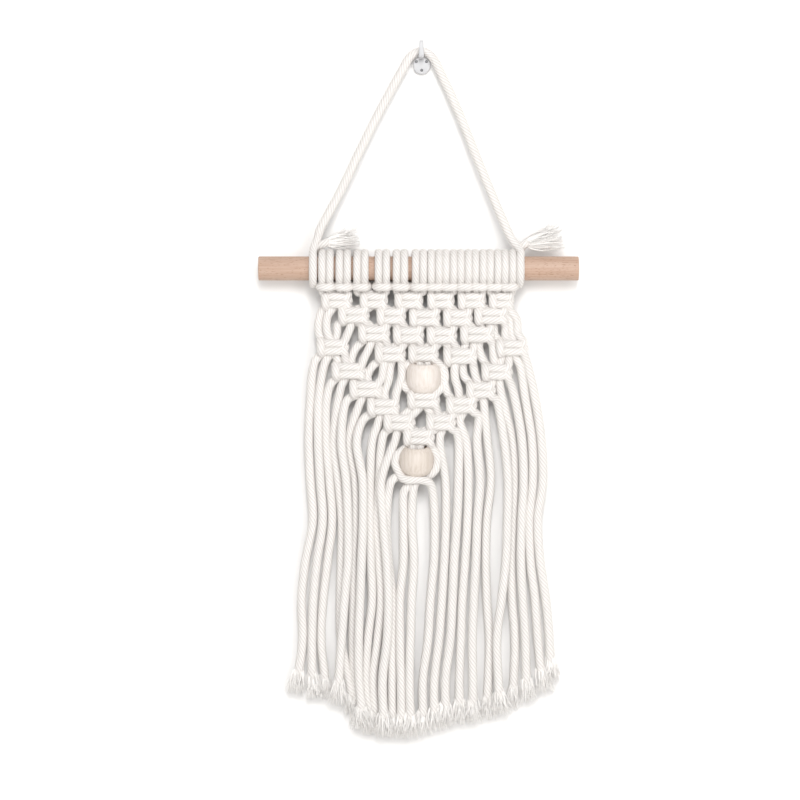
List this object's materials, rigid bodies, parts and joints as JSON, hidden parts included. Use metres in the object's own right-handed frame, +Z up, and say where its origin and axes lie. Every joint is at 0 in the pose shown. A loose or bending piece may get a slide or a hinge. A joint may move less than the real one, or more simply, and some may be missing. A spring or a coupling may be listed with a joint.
{
  "type": "macrame wall hanging on a dowel and wall hook",
  "caption": "Knotted cotton cord panel with wooden beads and a long V fringe, on a wooden dowel, hung by a cord from a small round wall hook.",
  "frame": {"origin": "centre of the hook's flat back face, in the wall's plane y = 0", "axes": "+Y is the outward normal of the hook's back face, into the wall; +Z up along the fringe; the front faces -Y"},
  "size_m": [0.192, 0.0252, 0.419],
  "materials": {
    "cotton": "matt natural cotton cord",
    "beech": "plain sanded",
    "maple": "plain turned",
    "plastic": "smooth",
    "steel_pins": "satin"
  },
  "bodies": {
    "root": {"bead_lower": "maple", "bead_upper": "maple", "dowel": "beech", "fringe": "cotton", "hanger_cord": "cotton", "hanger_hitch_left": "cotton", "hanger_hitch_right": "cotton", "hook_pin_left": "steel_pins", "hook_pin_low": "steel_pins", "hook_pin_right": "steel_pins", "knotted_net": "cotton", "larks_head_01": "cotton", "larks_head_02": "cotton", "larks_head_03": "cotton", "larks_head_04": "cotton", "larks_head_05": "cotton", "larks_head_06": "cotton", "larks_head_07": "cotton", "larks_head_08": "cotton", "larks_head_09": "cotton", "larks_head_10": "cotton", "larks_head_11": "cotton", "larks_head_12": "cotton", "wall_hook": "plastic"}
  },
  "joints": []
}
